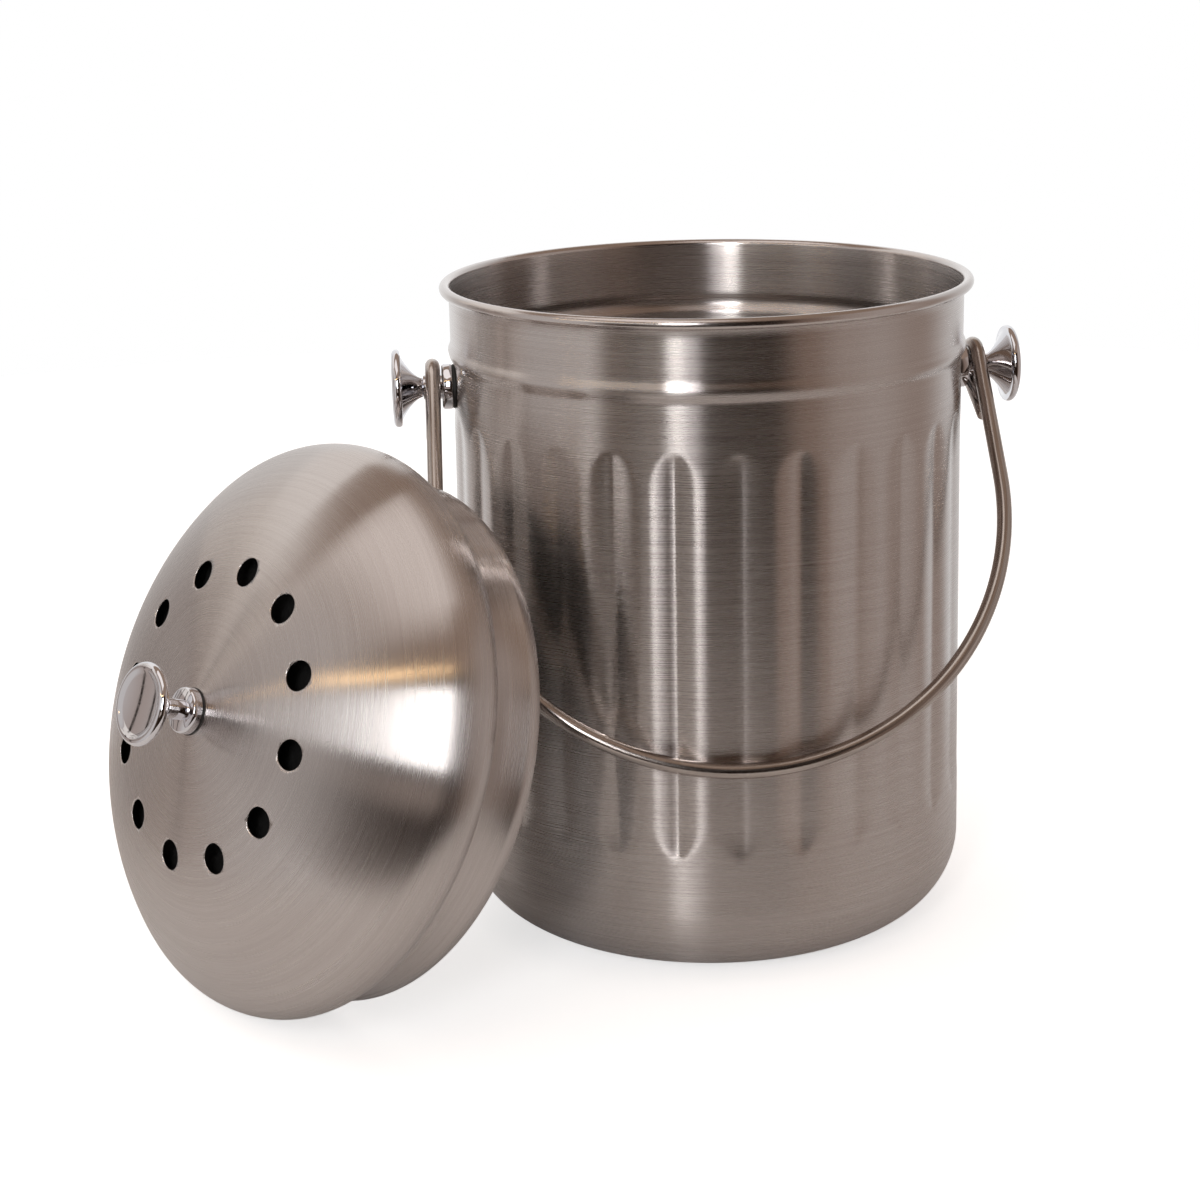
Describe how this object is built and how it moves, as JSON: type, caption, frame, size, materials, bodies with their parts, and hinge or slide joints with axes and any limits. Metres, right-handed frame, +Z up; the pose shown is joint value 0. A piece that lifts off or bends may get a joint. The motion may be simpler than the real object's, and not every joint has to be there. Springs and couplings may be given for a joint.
{
  "type": "compost pail",
  "caption": "Countertop compost pail of fluted sheet steel with a wire bail on two ears and a loose vented dome lid that holds a charcoal filter.",
  "frame": {"origin": "centre of the pail's base, on the surface it stands on", "axes": "+Z up along the pail's axis; the two ears lie on the X axis; the bail hangs on the -Y side, which is the front"},
  "size_m": [0.331, 0.2442, 0.233],
  "materials": {
    "brushed_steel": "brushed stainless steel, warm grey, fine circumferential grain",
    "brushed_lid": "brushed stainless steel, concentric grain around the knob",
    "satin_wire": "satin polished stainless steel wire",
    "mirror_chrome": "mirror polished",
    "fastener_steel": "plain turned and rolled screw steel",
    "black_rubber": "matt black rubber",
    "charcoal_felt": "matt black carbon-loaded felt",
    "black_plastic": "fine-textured black plastic"
  },
  "bodies": {
    "pail": {"pail_shell": "brushed_steel", "base_pan": "brushed_steel", "ear_gasket_left": "black_rubber", "ear_gasket_right": "black_rubber", "ear_bush_left": "mirror_chrome", "ear_bush_right": "mirror_chrome", "ear_knob_left": "mirror_chrome", "ear_knob_right": "mirror_chrome", "ear_washer_left": "fastener_steel", "ear_washer_right": "fastener_steel", "ear_screw_left": "fastener_steel", "ear_screw_right": "fastener_steel"},
    "bail": {"bail_handle": "satin_wire"},
    "lid": {"lid_dome": "brushed_lid", "lid_skirt": "brushed_lid", "lid_ring_gasket": "black_rubber", "lid_collar": "mirror_chrome", "lid_knob": "mirror_chrome", "lid_washer": "fastener_steel", "lid_screw": "fastener_steel", "filter_holder": "black_plastic"},
    "filter": {"charcoal_filter": "charcoal_felt", "filter_grille": "black_plastic"}
  },
  "joints": [
    {"name": "bail_swing", "type": "hinge", "parent": "pail", "child": "bail", "pos_m": [0, 0, 0.1968], "axis": [-1, 0, 0], "range_deg": [0, 281]},
    {"name": "lid_set_aside", "type": "slide", "parent": "pail", "child": "lid", "axis": [-0.8231, -0.5678, 0], "range_m": [0, 0.3]},
    {"name": "filter_release", "type": "slide", "parent": "lid", "child": "filter", "axis": [0.7695, 0.5308, -0.3551], "range_m": [0, 0.03]}
  ],
  "couplings": [
    {"joint": "lid_set_aside", "follows": "bail_swing", "m_per_rad": 0.06}
  ]
}
